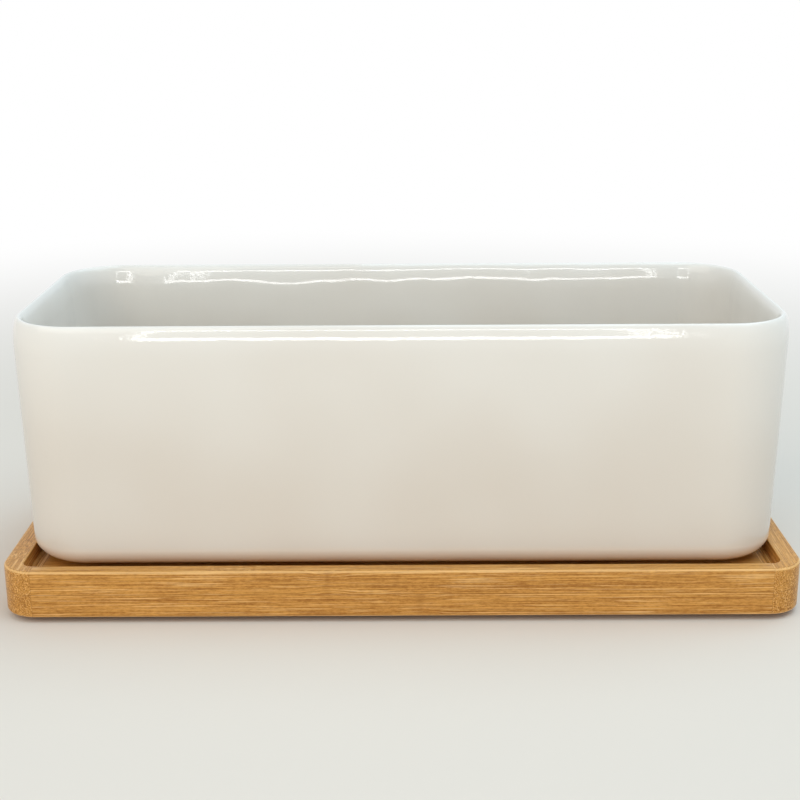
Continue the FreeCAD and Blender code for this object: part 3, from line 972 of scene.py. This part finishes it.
def make_floor():
    """A wide flat sheet at table height, which belongs to the stage."""
    bm = bmesh.new()
    bmesh.ops.create_grid(bm, x_segments=1, y_segments=1, size=FLOOR_SIZE / 2)
    mesh = bpy.data.meshes.new("floor")
    bm.to_mesh(mesh)
    bm.free()
    floor = bpy.data.objects.new("floor", mesh)
    bpy.context.scene.collection.objects.link(floor)
    finish = new_material("floor")
    where = finish.node("ShaderNodeTexCoord", output="Object")
    away = finish.node("ShaderNodeVectorMath", {"operation": "LENGTH"}, {0: where}, output="Value")
    matt = finish.node("ShaderNodeBsdfDiffuse", {}, {"Color": FLOOR_PALE})
    white = finish.node("ShaderNodeEmission", {}, {"Color": WHITE, "Strength": 1.0})
    faded = away.ramp(FADE_NEAR, FADE_FAR) * finish.seen()
    mesh.materials.append(finish.close(finish.node("ShaderNodeMixShader", {}, {0: faded, 1: matt, 2: white})))
    return floor


floor = make_floor()
print("floor", FLOOR_SIZE, "m wide")

# %% [markdown]
# ## The sky
#
# The room's light comes from all sides, so the world lights the planter softly and a little cool. The
# camera, mirrors and glass see it as plain white instead. A picture of a room would give livelier
# reflections, but with lamps each one can be put close to where the photograph has it.

# %% The sky
SKY_STRENGTH = 0.64
SKY_COLOUR = (0.9, 0.96, 1.0, 1.0)

sky = Finish(bpy.data.worlds.new("sky"), "ShaderNodeOutputWorld")
lit = sky.node("ShaderNodeBackground", {}, {"Color": SKY_COLOUR, "Strength": SKY_STRENGTH})
shown = sky.node("ShaderNodeBackground", {}, {"Color": WHITE, "Strength": 1.0})
bpy.context.scene.world = sky.close(
    sky.node("ShaderNodeMixShader", {}, {0: sky.seen(), 1: lit, 2: shown}))
print("sky strength", SKY_STRENGTH)

# %% [markdown]
# ## The lamps
#
# Three large soft lamps shape the planter: a warm key from the upper left, a low warm fill from the
# front that keeps the foot of the pot bright, and a cool lamp overhead for the lip and the inside. The
# fill stays out of reflections, because its own would thicken the bright line on the lip. Spot lamps
# would be simpler, but they draw hard shadows, and those of the photograph are soft.

# %% Three soft lamps
POT_MIDDLE = (0, 0, (FOOT + LIP) / 2)


def area_lamp(name, place, aim, size, watts, colour=(1, 1, 1), lights=True, reflects=True):
    """A rectangular lamp that looks at a point and can be kept from lighting or from reflections."""
    lamp = bpy.data.lights.new(name, "AREA")
    lamp.shape = "RECTANGLE"
    lamp.size, lamp.size_y = size
    lamp.energy = watts
    lamp.color = colour
    holder = bpy.data.objects.new(name, lamp)
    holder.location = place
    holder.rotation_euler = (Vector(aim) - Vector(place)).to_track_quat("-Z", "Y").to_euler()
    holder.visible_camera = False
    holder.visible_diffuse = lights
    holder.visible_glossy = reflects
    bpy.context.scene.collection.objects.link(holder)


area_lamp("key", (-0.78, -0.84, 0.98), POT_MIDDLE, size=(1.4, 1.0), watts=6.5, colour=(1.0, 0.92, 0.82))
area_lamp("fill", (0.0, -1.12, 0.2), POT_MIDDLE, size=(1.8, 0.35), watts=2.9, colour=(1.0, 0.88, 0.76),
          reflects=False)
area_lamp("top", (0.45, 0.0, 1.2), POT_MIDDLE, size=(1.5, 1.1), watts=9.5, colour=(0.66, 0.86, 1.0))

# %% [markdown]
# ## The bright frame
#
# The photograph's lip shows two fine bright lines that meet at their ends, and the inside of the back
# wall shows one more. They are the reflection of something bright in its room, like a window's frame.
# Painting the lines on the pot would fix them there from every side. So four thin bars stand far in
# front of the planter and are seen in reflections only, and the glaze draws the lines by itself.

# %% Four bright bars
FRAME_DISTANCE = 2.0
FRAME_LEFT, FRAME_RIGHT = -0.475, 0.445
FRAME_LOW, FRAME_HIGH = 0.234, 1.213
LONG_BAR, SIDE_BAR = 0.163, 0.036
FRAME_RADIANCE = 10.0


def bright_bar(name, centre_x, centre_z, width, height):
    """One bar of the bright frame, facing the planter. Its watts follow from its size."""
    watts = math.pi * width * height * FRAME_RADIANCE
    place = (centre_x, -FRAME_DISTANCE, centre_z)
    area_lamp(name, place, (centre_x, 0, centre_z), (width, height), watts, lights=False)


frame_middle = (FRAME_LEFT + FRAME_RIGHT) / 2
for name, height in (("frame_low", FRAME_LOW), ("frame_high", FRAME_HIGH)):
    bright_bar(name, frame_middle, height, FRAME_RIGHT - FRAME_LEFT, LONG_BAR)
for name, place in (("frame_left", FRAME_LEFT), ("frame_right", FRAME_RIGHT)):
    bright_bar(name, place, (FRAME_LOW + FRAME_HIGH) / 2, SIDE_BAR, FRAME_HIGH - FRAME_LOW)

# %% [markdown]
